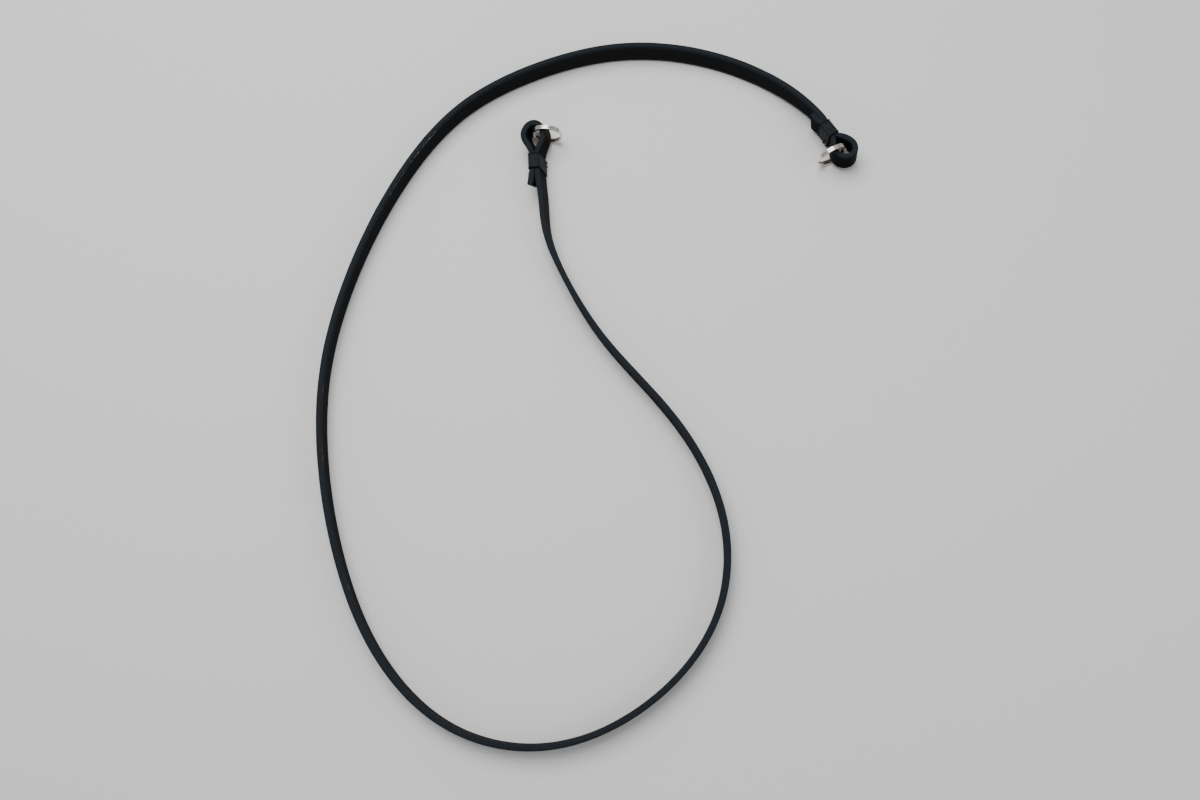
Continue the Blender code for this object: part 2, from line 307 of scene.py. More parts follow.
def end_rise():
    """Height of the strap's lowest corner where it rides on the standing ring's wire."""
    reach = RING_INNER_RADIUS - RING_SEAT_GAP
    return RING_OUTER_RADIUS - math.sqrt(reach ** 2 - (STRAP_THICKNESS / 2 + RING_SHIFT) ** 2)


def edge_point(plan, side, lean, lift, at_top):
    """A point on the strap's lower or upper edge line, with the strap leaning about its middle."""
    angle = math.radians(lean)
    half = STRAP_WIDTH / 2 * (1 if at_top else -1)
    shifted = plan + half * math.sin(angle) * side
    bottom = lift + STRAP_THICKNESS / 2 * abs(math.sin(angle))
    return np.array([*shifted, bottom + (STRAP_WIDTH * math.cos(angle) if at_top else 0.0)])


def pinch_at(distance, ease_length):
    """Share of the full thickness left at a distance from the binding."""
    pinched = PINCHED_THICKNESS / STRAP_THICKNESS
    return pinched + (1 - pinched) * ease(distance / ease_length)


# %% The run's pairs
RUN_STEP = 0.0008


def run_pairs(route):
    """The long stretch between the bindings, which rises onto the rings at both ends."""
    pairs = []
    for distance in np.linspace(0, route.length, round(route.length / RUN_STEP) + 1)[1:-1]:
        plan, side, lean = route.read(distance)
        to_binding = min(distance, route.length - distance)
        lift = end_rise() * (1 - ease(to_binding / RISE_RUN))
        lower = edge_point(plan, side, lean, lift, False)
        upper = edge_point(plan, side, lean, lift, True)
        pairs.append(EdgePair(lower, upper, pinch_at(to_binding, STRAP_EASE), "run"))
    return pairs


# %% The folded ends' pairs
EYE_PARTS = 12
TAIL_STEP = 0.0005
BINDING_STEPS = 12


def eye_frame(end):
    """The plan directions outward and towards the tail at an end."""
    ahead = direction(end.heading)
    return ahead, -left_of(ahead) * end.turn


def eye_rows(end):
    """The eye's rows from rim to rim, outward and aside, from the binding's near rim."""
    rows = [(0, -PLY_OFFSET)]
    rows += [(row.out * EYE_LENGTH, row.aside * EYE_WIDTH) for row in end.eye]
    rows += [(0, PLY_OFFSET)]
    return np.array(rows) + (BINDING_LENGTH, 0)


def end_outline(end):
    """The folded end in the binding's own frame, from the strap round to the tail."""
    eye = spline_points(eye_rows(end), np.array([1.0, 0.0]), np.array([-1.0, 0.0]), EYE_PARTS)
    past = distances(eye)
    from_rim = np.minimum(past, past[-1] - past)
    outline = []
    for (out, aside), rim in zip(eye, from_rim):
        outline.append((out, aside, pinch_at(rim, EYE_EASE), "eye", rim))
    shares = np.linspace(0, 1, BINDING_STEPS, endpoint=False)
    inside = [(share * BINDING_LENGTH, PLY_OFFSET, pinch_at(0, EYE_EASE), "bound", 0.0) for share in shares]
    start = [(out, -aside, *rest) for out, aside, *rest in inside]
    return start + outline + inside[::-1]


def lean_side(end):
    """The left-hand side of the strap's route at an end, towards which a positive lean tips it."""
    return left_of(direction(end.heading) * end.turn)


def tail_pairs(end, route):
    """The free tail, which lies beside the strap, with its slanted cut."""
    pairs = []
    steps = round(end.tail / TAIL_STEP)
    for share in np.linspace(0, 1, steps + 1)[1:]:
        edges = []
        for length, at_top in ((end.tail - TAIL_SLANT, False), (end.tail, True)):
            distance = share * length
            at = distance if end.turn < 0 else route.length - distance
            plan, side, lean = route.read(at)
            spread = end.tail_spread * (distance / end.tail) ** 2
            beside = pinch_at(distance, STRAP_EASE) * STRAP_THICKNESS + PLY_GAP + spread
            lift = end_rise() * (1 - ease(distance / RISE_RUN))
            edges.append(edge_point(plan - beside * side, side, lean, lift, at_top))
        pairs.append(EdgePair(*edges, pinch_at(share * end.tail, STRAP_EASE), "tail"))
    return pairs


def end_pairs(end, route):
    """One folded end, from the strap's own ply round the eye and back to the tail's cut."""
    ahead, aside = eye_frame(end)
    pairs = []
    for out, shift, pinch, zone, past in end_outline(end):
        plan = plan_point(end) + out * ahead + shift * aside
        upper = edge_point(plan, lean_side(end), end.lean, end_rise(), True)
        reach = end.lower_reach * ease((out - BINDING_LENGTH) / REACH_EASE)
        lower = edge_point(plan + reach * ahead, lean_side(end), end.lean, end_rise(), False)
        pairs.append(EdgePair(lower, upper, pinch, zone, past))
    return pairs + tail_pairs(end, route)


# %% The whole strap's pairs
left_end, right_end = ENDS
PAIRS = end_pairs(left_end, ROUTE_LINE)[::-1] + run_pairs(ROUTE_LINE) + end_pairs(right_end, ROUTE_LINE)
LOWER_EDGE = np.array([pair.lower for pair in PAIRS])
UPPER_EDGE = np.array([pair.upper for pair in PAIRS])
plan_points = np.concatenate([LOWER_EDGE, UPPER_EDGE])[:, :2]
MIDDLE_SHIFT = -(plan_points.min(axis=0) + plan_points.max(axis=0)) / 2
LOWER_EDGE[:, :2] += MIDDLE_SHIFT
UPPER_EDGE[:, :2] += MIDDLE_SHIFT
print("stations:", len(PAIRS), "shift, mm:", (MIDDLE_SHIFT * 1000).round(2))

# %% [markdown]
# ## The leather band
#
# Solidify and Bevel would give an even wall with even edges. Real cut leather is a little livelier:
# its edges are burnished round, its width wanders by less than a tenth of a millimetre, and inside
# a tight fold it wrinkles. So each station gets its own ring of points, worked out from the pair of
# edge points, and the rings are joined into one closed skin. Three attributes tell the material
# which face a point is on, how far it is from the edge, and how worn it is.

# %% Slow wandering along the band
NOISE_SEED = 7


def wander(at, step, order):
    """A smooth random wave from -1 to 1 along a distance, the same in each run."""
    rng = np.random.default_rng(NOISE_SEED + order)
    knots = np.arange(at.min() - step, at.max() + 2 * step, step)
    values = rng.uniform(-1, 1, len(knots))
    place = (at - knots[0]) / step
    index = place.astype(int)
    share = place - index
    share = share * share * (3 - 2 * share)
    return values[index] * (1 - share) + values[index + 1] * share


# %% The section of the band
CORNER_ACROSS = 0.00075
CORNER_DOWN = 0.00095
EDGE_CROWN = 0.00008
CORNER_PARTS = 5
EDGE_PARTS = 3
FACE_PARTS = 6

SectionPoint = namedtuple("SectionPoint", "up across face")


def section_quarter():
    """One quarter of the section from the middle of the edge to the middle of the face."""
    half_up = STRAP_WIDTH / 2
    half_across = STRAP_THICKNESS / 2
    points = []
    for across in np.linspace(0, half_across - CORNER_ACROSS, EDGE_PARTS)[:-1]:
        points.append(SectionPoint(half_up, across, 0.0))
    for turn in np.linspace(0, math.pi / 2, CORNER_PARTS + 1):
        up = half_up - CORNER_DOWN * (1 - math.cos(turn))
        across = half_across - CORNER_ACROSS * (1 - math.sin(turn))
        points.append(SectionPoint(up, across, turn / (math.pi / 2)))
    for up in np.linspace(half_up - CORNER_DOWN, 0, FACE_PARTS)[1:]:
        points.append(SectionPoint(up, half_across, 1.0))
    return points


def whole_section():
    """The closed section, round from the upper edge over the flesh side to the grain side."""
    quarter = section_quarter()
    flesh = [SectionPoint(p.up, p.across, -p.face) for p in quarter]
    flesh += [SectionPoint(-p.up, p.across, -p.face) for p in quarter[-2::-1]]
    grain = [SectionPoint(-p.up, -p.across, p.face) for p in quarter[1:]]
    grain += [SectionPoint(p.up, -p.across, p.face) for p in quarter[-2:0:-1]]
    return flesh + grain


SECTION = whole_section()
print("points round the section:", len(SECTION))

# %% Where two plies meet
# The corners that face each other are cut crisper there, and each ply swells a little to the other.
PLY_CORNER_KEPT = 0.30
PLY_SWELL = 0.00011
PLY_EASE = 0.0030


def crisp(point, kept):
    """The flesh-side point with its corner's rounding cut down to a share of what it was."""
    if point.across <= 0:
        return point
    half_up = STRAP_WIDTH / 2
    half_across = STRAP_THICKNESS / 2
    down = half_up - abs(point.up)
    if down < CORNER_DOWN:
        down *= kept
    flat = half_across - CORNER_ACROSS
    if point.across <= flat:
        across = point.across * (half_across - kept * CORNER_ACROSS) / flat
    else:
        across = half_across - kept * (half_across - point.across)
    return SectionPoint(math.copysign(half_up - down, point.up), across, point.face)


# %% Where the edges are worn
# Stretches of the run, from and to in metres past the left binding, where pale fibre shows.
WornStretch = namedtuple("WornStretch", "start end strength")
WORN = (
    WornStretch(0.020, 0.040, 0.25),
    WornStretch(0.328, 0.348, 0.75),
    WornStretch(0.471, 0.492, 0.80),
    WornStretch(0.539, 0.560, 0.85),
    WornStretch(0.572, 0.589, 0.75),
    WornStretch(0.640, 0.688, 0.35),
    WornStretch(0.685, 0.712, 0.75),
    WornStretch(0.708, 0.737, 1.00),
    WornStretch(0.737, 0.790, 0.35),
)
WORN_FADE = 0.006


def wear_at(distance):
    """How worn the inner edge is at a distance along the run, from 0 to 1."""
    wear = 0.0
    for worn in WORN:
        inside = min(distance - worn.start, worn.end - distance)
        wear = max(wear, worn.strength * ease(inside / WORN_FADE))
    return wear


print("worn stretches:", len(WORN))

# %% Rings of points
WIDTH_WANDER = 0.00007
WIDTH_WANDER_STEP = 0.011
THICKNESS_WANDER = 0.00006
THICKNESS_WANDER_STEP = 0.007
WRINKLE_DEPTH = 0.00004
WRINKLE_LENGTH = 0.0013
WRINKLE_SHIFT = 2.2
WRINKLE_SHIFT_STEP = 0.0021
FOLD_RADIUS = 0.0065
END_ROUND_STEPS = 4
END_ROUND = 0.0006
END_LEAST_SHARE = 0.2


def band_frames(lower, upper):
    """For each station: the middle, the way up the band and the way out of its flesh side."""
    middle = (lower + upper) / 2
    ahead = np.gradient(middle, axis=0)
    ahead /= np.linalg.norm(ahead, axis=1)[:, None]
    up = upper - lower
    up /= np.linalg.norm(up, axis=1)[:, None]
    out = np.cross(ahead, up)
    out /= np.linalg.norm(out, axis=1)[:, None]
    return middle, ahead, up, out


def bend_towards(ahead, out, at):
    """How tightly the band bends towards its flesh side, as one over the radius."""
    change = np.gradient(ahead, axis=0) / np.gradient(at)[:, None]
    return np.einsum("ij,ij->i", change, out)


middle, ahead, up, out = band_frames(LOWER_EDGE, UPPER_EDGE)
ALONG = np.concatenate([[0], np.cumsum(np.linalg.norm(np.diff(middle, axis=0), axis=1))])
run_start = ALONG[next(i for i, pair in enumerate(PAIRS) if pair.zone == "run")]
bend = bend_towards(ahead, out, ALONG)
print("strap from cut to cut, mm:", round(ALONG[-1] * 1000))


# %% How close the other ply lies
def ply_closeness(i):
    """1 where a station faces the other ply closely, 0 where it is free."""
    pair = PAIRS[i]
    if pair.zone in ("bound", "tail"):
        return 1.0
    if pair.zone == "eye":
        return 1 - ease(pair.past / PLY_EASE)
    from_left = ALONG[i] - run_start
    from_right = ROUTE_LINE.length - from_left
    left, right = ENDS
    return max(1 - ease((from_left - left.tail) / PLY_EASE), 1 - ease((from_right - right.tail) / PLY_EASE))


# %% The band's skin
def band_rings():
    """Positions, and the face, edge distance and wear of every point, ring by ring."""
    width_wave = WIDTH_WANDER * wander(ALONG, WIDTH_WANDER_STEP, 1)
    thick_wave = THICKNESS_WANDER * wander(ALONG, THICKNESS_WANDER_STEP, 2)
    shift = WRINKLE_SHIFT * wander(ALONG, WRINKLE_SHIFT_STEP, 3)
    wrinkle_turn = 2 * math.pi * ALONG / WRINKLE_LENGTH + shift
    folded = np.clip(bend * FOLD_RADIUS, 0, 1) ** 2
    wrinkle = WRINKLE_DEPTH * folded * np.sin(wrinkle_turn)
    length = np.linalg.norm(UPPER_EDGE - LOWER_EDGE, axis=1)
    positions, faces, depths, wears = [], [], [], []
    for i, pair in enumerate(PAIRS):
        stretch = length[i] / STRAP_WIDTH
        thin = pair.pinch + thick_wave[i] / STRAP_THICKNESS * (pair.zone != "bound")
        wear = wear_at(ALONG[i] - run_start)
        close = ply_closeness(i)
        for point in SECTION:
            point = crisp(point, 1 - (1 - PLY_CORNER_KEPT) * close)
            rise = point.up * stretch
            if point.up > 0:
                rise += width_wave[i]
            if abs(point.face) < 1:
                crown = EDGE_CROWN * (point.across / (STRAP_THICKNESS / 2)) ** 2
                rise -= math.copysign(crown, point.up)
            across = point.across * thin
            if point.face < 0:
                across += (wrinkle[i] + PLY_SWELL * close) * -point.face
            positions.append(middle[i] + rise * up[i] + across * out[i])
            faces.append(point.face)
            depths.append((STRAP_WIDTH / 2 - abs(point.up)) * 1000)
            wears.append(wear if point.up > 0 else 0.3 * wear)
    return np.array(positions), faces, depths, wears


def cap_rings(ring, onward):
    """Smaller and smaller rings that round off a cut end."""
    centre = ring.mean(axis=0)
    rings = []
    for share in np.linspace(0, 1, END_ROUND_STEPS + 1)[1:]:
        turn = share * math.pi / 2
        inset = END_ROUND * (1 - math.cos(turn))
        reach = END_ROUND * math.sin(turn)
        away = ring - centre
        size = np.linalg.norm(away, axis=1)[:, None]
        rings.append(centre + away * np.maximum(1 - inset / size, END_LEAST_SHARE) + reach * onward)
    return rings


# %% Building the band
UV_PER_METRE = 10


def new_mesh_object(name, points, quads):
    mesh = bpy.data.meshes.new(name)
    mesh.from_pydata([tuple(point) for point in points], [], quads)
    mesh.shade_smooth()
    piece = bpy.data.objects.new(name, mesh)
    bpy.context.scene.collection.objects.link(piece)
    return piece


def set_attribute(mesh, name, values):
    mesh.attributes.new(name, "FLOAT", "POINT").data.foreach_set("value", np.array(values, np.float32))


def make_band():
    count = len(SECTION)
    points, faces, depths, wears = band_rings()
    rings = [points[i * count:(i + 1) * count] for i in range(len(PAIRS))]
    starts = cap_rings(rings[0], -ahead[0])[::-1]
    ends = cap_rings(rings[-1], ahead[-1])
    extra = len(starts)
    rings = starts + rings + ends
    faces = faces[:count] * extra + faces + faces[-count:] * extra
    depths = depths[:count] * extra + depths + depths[-count:] * extra
    wears = wears[:count] * extra + wears + wears[-count:] * extra
    at = np.concatenate([[ALONG[0]] * extra, ALONG, [ALONG[-1]] * extra])
    quads = []
    for i in range(len(rings) - 1):
        for j in range(count):
            k = (j + 1) % count
            quads.append((i * count + j, i * count + k, (i + 1) * count + k, (i + 1) * count + j))
    last = (len(rings) - 1) * count
    caps = [tuple(range(count))[::-1], tuple(last + j for j in range(count))]
    band = new_mesh_object("leather_strap", np.concatenate(rings), quads + caps)
    for name, values in (("face", faces), ("depth", depths), ("wear", wears)):
        set_attribute(band.data, name, values)
    around = np.concatenate([[0], np.cumsum([
        math.dist((a.up, a.across), (b.up, b.across)) for a, b in zip(SECTION, SECTION[1:] + SECTION[:1])
    ])])
    corners = []
    for i in range(len(rings) - 1):
        for j in range(count):
            for station, turn in ((i, j), (i, j + 1), (i + 1, j + 1), (i + 1, j)):
                corners += [at[station] * UV_PER_METRE, around[turn] * UV_PER_METRE]
    for cap in caps:
        for index in cap:
            corners += [at[0] * UV_PER_METRE, around[index % count] * UV_PER_METRE]
    band.data.uv_layers.new(name="along_around").data.foreach_set("uv", np.array(corners, np.float32))
    return band


band = make_band()
print("leather band, faces:", len(band.data.polygons))

# %% [markdown]
# ## Materials by expression
#
# A node tree is easier to read as arithmetic. `Value` wraps one socket, so that adding or
# multiplying two values puts down a Math node, and `Board` puts down every other kind of node.

# %% A small language for materials
class Value:
    """A number that changes over a surface. Arithmetic on it adds Math nodes."""

    def __init__(self, board, socket):
        self.board = board
        self.socket = socket

    def calculate(self, operation, first, second):
        return self.board.node("ShaderNodeMath", {"operation": operation}, {0: first, 1: second})

    def __add__(self, other):
        return self.calculate("ADD", self, other)

    def __sub__(self, other):
        return self.calculate("SUBTRACT", self, other)

    def __rsub__(self, other):
        return self.calculate("SUBTRACT", other, self)

    def __mul__(self, other):
        return self.calculate("MULTIPLY", self, other)

    __radd__ = __add__
    __rmul__ = __mul__


class Board:
    """One material's node tree."""

    def __init__(self, name):
        self.material = bpy.data.materials.new(name)
        self.material.use_nodes = True
        self.tree = self.material.node_tree
        self.shader = self.tree.nodes["Principled BSDF"]

    def plug(self, socket, value):
        if isinstance(value, Value):
            self.tree.links.new(value.socket, socket)
        else:
            socket.default_value = value

    def node(self, kind, settings, sockets, output=0):
        made = self.tree.nodes.new(kind)
        for name, value in settings.items():
            setattr(made, name, value)
        for key, value in sockets.items():
            self.plug(made.inputs[key], value)
        return Value(self, made.outputs[output])

    def finish(self, **sockets):
        """Fills the shader's sockets, named with low lines for spaces."""
        for name, value in sockets.items():
            self.plug(self.shader.inputs[name.replace("_", " ")], value)
        return self.material

    def attribute(self, name):
        return self.node("ShaderNodeAttribute", {"attribute_name": name}, {}, "Fac")

    def band(self, value, low, high):
        """Rises smoothly from 0 to 1 as the value goes from low to high, or falls if low is larger."""
        settings = {"interpolation_type": "SMOOTHSTEP"}
        return self.node("ShaderNodeMapRange", settings, {0: value, 1: low, 2: high})

    def noise(self, place, scale, detail=3.0, roughness=0.5):
        sockets = {"Vector": place, "Scale": scale, "Detail": detail, "Roughness": roughness}
        return self.node("ShaderNodeTexNoise", {}, sockets)

    def mapped(self, place, scale):
        return self.node("ShaderNodeMapping", {}, {"Vector": place, "Scale": scale})

    def mix(self, factor, first, second):
        return self.node("ShaderNodeMix", {"data_type": "RGBA"}, {0: factor, 6: first, 7: second}, 2)

    def bump(self, height, distance, strength=1.0, before=None):
        sockets = {"Height": height, "Distance": distance, "Strength": strength}
        if before is not None:
            sockets["Normal"] = before
        return self.node("ShaderNodeBump", {}, sockets)


# %% [markdown]
# ## Black leather
#
# Three finishes meet on the band. The grain side is smooth and near black, with fine pores and
# creases. The flesh side is a little paler and dull, with fibres lying along it. The edges are
# painted and burnished, and their colour is paler still: partly the paint, partly a painted sheen.
# This colour runs a little way over the corner, furthest on the flesh side, where it is partly a
# painted highlight of the rounded corner. Pale fibre shows where the corner has rubbed through.

# %% Leather material
GRAIN_COLOR = (0.0012, 0.0013, 0.0016, 1)
FLESH_COLOR = (0.0098, 0.0100, 0.0108, 1)
# The edge tone is the edge paint, made paler as a painted sheen of the burnish.
EDGE_PAINT_AND_SHEEN_COLOR = (0.0104, 0.0128, 0.0158, 1)
EDGE_SCUFFED = (0.0250, 0.0294, 0.0344, 1)
FIBRE_COLOR = (0.34, 0.32, 0.29, 1)
EDGE_OVERLAP_MM = 1.7

# How far the UV map is scaled along and around the band for each pattern
WAVER_SCALE = (14, 40, 1)
MOTTLE_SCALE = (30, 60, 1)
STREAK_SCALE = (60, 900, 1)
PORE_SCALE = (190, 260, 1)
DASH_SCALE = (42, 330, 1)
FINE_SCALE = 420.0
GRAIN_DEPTH = 0.00009
FIBRE_DEPTH = 0.00012


def leather_material():
    board = Board("black_leather")
    place = board.node("ShaderNodeUVMap", {"uv_map": "along_around"}, {})
    face = board.attribute("face")
    depth = board.attribute("depth")
    wear = board.attribute("wear")

    # The boundary of the pale edge colour, edge paint with a painted sheen, wavers, and both sides have
    # their own width of it
    waver = board.noise(board.mapped(place, WAVER_SCALE), 9.0) * 1.1 - 0.55
    flesh = board.band(face, -0.25, -0.75)
    grain = board.band(face, 0.25, 0.75)
    reach = depth + waver * 0.7
    flesh_edge_paint_and_sheen = board.band(reach, EDGE_OVERLAP_MM + 0.25, EDGE_OVERLAP_MM - 0.35)
    grain_edge_paint_and_sheen = board.band(reach, 0.95, 0.45)
    bare = flesh * (1 - flesh_edge_paint_and_sheen) + grain * (1 - grain_edge_paint_and_sheen)

    mottle = board.noise(board.mapped(place, MOTTLE_SCALE), 4.0, 4.0)
    streak = board.noise(board.mapped(place, STREAK_SCALE), 3.0, 3.0)
    pores = board.node("ShaderNodeTexVoronoi", {"feature": "DISTANCE_TO_EDGE"}, {
        "Vector": board.mapped(place, PORE_SCALE), "Scale": 1.0})
    fine = board.noise(place, FINE_SCALE, 4.0, 0.65)

    # Rubbed places: short dashes of pale fibre along the corner
    dashes = board.noise(board.mapped(place, DASH_SCALE), 1.0, 3.0, 0.65)
    near_corner = board.band(depth, 1.45, 1.00) * board.band(depth, 0.10, 0.40) * flesh
    rubbed = board.band(dashes + wear * 0.14, 0.67, 0.74) * board.band(wear, 0.05, 0.25) * near_corner
    scuffed = board.band(mottle, 0.40, 0.72) * (1 - bare) * 0.6

    side = board.mix(flesh, GRAIN_COLOR, FLESH_COLOR)
    edge = board.mix(scuffed + 0.4 * board.band(streak, 0.35, 0.75), EDGE_PAINT_AND_SHEEN_COLOR, EDGE_SCUFFED)
    color = board.mix(1 - bare, side, edge)
    color = board.mix(rubbed * 0.75, color, FIBRE_COLOR)

    roughness = 0.55 + 0.17 * flesh * bare + 0.12 * mottle + 0.14 * rubbed
    grain_height = board.band(pores, 0.0, 0.28) * grain * bare
    fibre_height = streak * (0.35 + 0.65 * flesh) + fine * 0.35
    normal = board.bump(grain_height, GRAIN_DEPTH, 0.55)
    normal = board.bump(fibre_height, FIBRE_DEPTH, 0.5, normal)
    return board.finish(Base_Color=color, Roughness=roughness, Normal=normal, Specular_IOR_Level=0.03)


band.data.materials.append(leather_material())
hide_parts("strap")
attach(band, "root")
print("leather material, nodes:", len(band.data.materials[0].node_tree.nodes))

# %% [markdown]
# ## The wound bindings
#
# Each binding is a flat waxed thread wound eight times round both plies, with a thin turn at each
# rim whose darker colour is painted shade. A turn is the same closed line every time, so Geometry
# Nodes sweep it once and set copies of it side by side. Every copy is turned a little at random, as a hand
# leaves it.

# %% Tree for wound turns
THREAD_SIDES = 10


def new_tree(name, inputs):
    tree = bpy.data.node_groups.new(name, "GeometryNodeTree")
    tree.interface.new_socket("Geometry", in_out="INPUT", socket_type="NodeSocketGeometry")
    for label, kind in inputs:
        tree.interface.new_socket(label, in_out="INPUT", socket_type=kind)
    tree.interface.new_socket("Geometry", in_out="OUTPUT", socket_type="NodeSocketGeometry")
    return tree


def add_node(tree, kind, settings, sockets):
    """Puts down one node, with its settings first and then the values or links of its sockets."""
    made = tree.nodes.new(kind)
    for name, value in settings.items():
        setattr(made, name, value)
    for key, value in sockets.items():
        if isinstance(value, bpy.types.NodeSocket):
            tree.links.new(value, made.inputs[key])
        else:
            made.inputs[key].default_value = value
    return made


def wound_tree():
    tree = new_tree("wound_turns", (
        ("Turns", "NodeSocketInt"),
        ("Pitch", "NodeSocketFloat"),
        ("Thread Radius", "NodeSocketFloat"),
        ("Flatness", "NodeSocketFloat"),
        ("Slant", "NodeSocketFloat"),
        ("Wobble", "NodeSocketFloat"),
        ("Seed", "NodeSocketInt"),
        ("Material", "NodeSocketMaterial"),
    ))
    given = tree.nodes.new("NodeGroupInput").outputs
    profile = add_node(tree, "GeometryNodeCurvePrimitiveCircle", {}, {
        "Resolution": THREAD_SIDES, "Radius": given["Thread Radius"]})
    turn = add_node(tree, "GeometryNodeCurveToMesh", {}, {
        "Curve": given["Geometry"], "Profile Curve": profile.outputs[0]})
    offset = add_node(tree, "ShaderNodeCombineXYZ", {}, {0: given["Pitch"]})
    line = add_node(tree, "GeometryNodeMeshLine", {}, {
        "Count": given["Turns"], "Offset": offset.outputs[0]})
    least = add_node(tree, "ShaderNodeMath", {"operation": "MULTIPLY"}, {0: given["Wobble"], 1: -1.0})
    jitter = add_node(tree, "FunctionNodeRandomValue", {"data_type": "FLOAT"}, {
        2: least.outputs[0], 3: given["Wobble"], "Seed": given["Seed"]})
    yaw = add_node(tree, "ShaderNodeMath", {"operation": "ADD"}, {
        0: given["Slant"], 1: jitter.outputs[1]})
    flat = add_node(tree, "ShaderNodeCombineXYZ", {}, {0: given["Flatness"], 1: 1.0, 2: 1.0})
    turned = add_node(tree, "ShaderNodeCombineXYZ", {}, {2: yaw.outputs[0]})
    copies = add_node(tree, "GeometryNodeInstanceOnPoints", {}, {
        "Points": line.outputs[0],
        "Instance": turn.outputs[0],
        "Rotation": turned.outputs[0],
        "Scale": flat.outputs[0],
    })
    real = add_node(tree, "GeometryNodeRealizeInstances", {}, {"Geometry": copies.outputs[0]})
    smooth = add_node(tree, "GeometryNodeSetShadeSmooth", {}, {0: real.outputs[0]})
    finish = add_node(tree, "GeometryNodeSetMaterial", {}, {
        "Geometry": smooth.outputs[0], "Material": given["Material"]})
    out_node = tree.nodes.new("NodeGroupOutput")
    tree.links.new(finish.outputs[0], out_node.inputs[0])
    return tree


WOUND_TREE = wound_tree()
print("wound turns tree, nodes:", len(WOUND_TREE.nodes))


# %% Running a tree
def run_tree(source, tree, values):
    """Runs a tree on an object and gives back the result as a plain mesh."""
    modifier = source.modifiers.new(tree.name, "NODES")
    modifier.node_group = tree
    names = {item.name: item.identifier for item in tree.interface.items_tree if item.in_out == "INPUT"}
    for label, value in values.items():
        modifier[names[label]] = value
    shown = source.evaluated_get(bpy.context.evaluated_depsgraph_get())
    mesh = bpy.data.meshes.new_from_object(shown)
    bpy.data.objects.remove(source, do_unlink=True)
    return mesh


# %% [markdown]
# ## Waxed thread
#
# Wax clouds the dye of a thread and half hides its strands. A weave pattern would look woven, so two
# sizes of noise do it: one clouds the colour and the sheen, and the finer one roughens the surface.
# The same recipe takes three pairs of tones: the wrap's, the rims', made darker as painted shade,
# and the knots', whose pale tone is a painted glint.

# %% Thread material
WRAP_TONES = ((0.0090, 0.0106, 0.0124, 1), (0.0182, 0.0208, 0.0238, 1))
# The rims' tones are darker than the wrap's: painted shade of the groove where each rim turn sits.
RIM_TONES_PAINTED_SHADE = ((0.0010, 0.0010, 0.0012, 1), (0.0035, 0.0037, 0.0042, 1))
# The knots' light tone is a painted glint on the thread's ends.
KNOT_TONES_PAINTED_GLINT = ((0.0050, 0.0052, 0.0056, 1), (0.0900, 0.0920, 0.0900, 1))
WAX_SCALE = 900.0
STRAND_SCALE = 5200.0
STRAND_DEPTH = 0.00003


def thread_material(name, tones):
    board = Board(name)
    place = board.node("ShaderNodeTexCoord", {}, {}, "Object")
    wax = board.noise(place, WAX_SCALE, 3.0)
    strands = board.noise(place, STRAND_SCALE, 2.0, 0.7)
    color = board.mix(board.band(wax, 0.42, 0.70), *tones)
    normal = board.bump(strands, STRAND_DEPTH, 0.6)
    roughness = 0.46 + 0.25 * wax
    return board.finish(Base_Color=color, Roughness=roughness, Normal=normal, Specular_IOR_Level=0.10)


WRAP_THREAD = thread_material("waxed_thread", WRAP_TONES)
RIM_THREAD_PAINTED_SHADE = thread_material("waxed_rim_thread_painted_shade", RIM_TONES_PAINTED_SHADE)
KNOT_THREAD_PAINTED_GLINT = thread_material("knot_thread_painted_glint", KNOT_TONES_PAINTED_GLINT)

# %% One turn's line
THREAD_RADIUS = 0.00023
THREAD_FLATNESS = 2.5
RIM_RADIUS = 0.00031
THREAD_SEAT = 0.00003
TURN_CORNER = 0.0007
TURN_CORNER_POINTS = 6


def turn_line(end, radius):
    """The closed line that a turn of thread of this radius takes round the two plies."""
    lean = math.radians(end.lean)
    tip = math.tan(lean) * end.turn
    half_across = PINCHED_THICKNESS + PLY_GAP / 2
    half_up = STRAP_WIDTH / 2 * math.cos(lean) + STRAP_THICKNESS / 2 * abs(math.sin(lean))
    stand_off = THREAD_SEAT + radius
    points = []
    for quarter, (sx, sy) in enumerate(((1, -1), (1, 1), (-1, 1), (-1, -1))):
        for angle in np.linspace(0, math.pi / 2, TURN_CORNER_POINTS):
            turn = angle + (quarter - 1) * math.pi / 2
            reach = TURN_CORNER + stand_off
            across = sx * (half_across - TURN_CORNER) + reach * math.cos(turn)
            up = sy * (half_up - TURN_CORNER) + reach * math.sin(turn)
            points.append((0.0, across + up * tip, up))
    return points


def line_object(name, points, closed=True):
    curve = bpy.data.curves.new(name, "CURVE")
    curve.dimensions = "3D"
    spline = curve.splines.new("POLY")
    spline.points.add(len(points) - 1)
    for slot, point in zip(spline.points, points):
        slot.co = (*point, 1.0)
    spline.use_cyclic_u = closed
    line = bpy.data.objects.new(name, curve)
    bpy.context.scene.collection.objects.link(line)
    return line


# %% [markdown]
# ## Knots
#
# The thread's ends are tied off in tiny knots on the side of each binding. Three beads would pass
# from afar, but a knot is a bent thread, so a line winds round in three lobes, with two short ends,
# and a curve's own round bevel gives it its body.

# %% Knots
KNOT_WIRE = 0.00016
KNOT_POINTS = 64
KNOT_TURNS = 2.2
KNOT_LOBES = 1.5
Knot = namedtuple("Knot", "before_eye up size")
KNOTS = (
    Knot(0.0026, -0.0022, 0.00034),
    Knot(0.0030, -0.0053, 0.00036),
    Knot(0.0009, -0.0055, 0.00032),
)
KNOT_SIDE = -1
print("knots on each binding:", len(KNOTS))


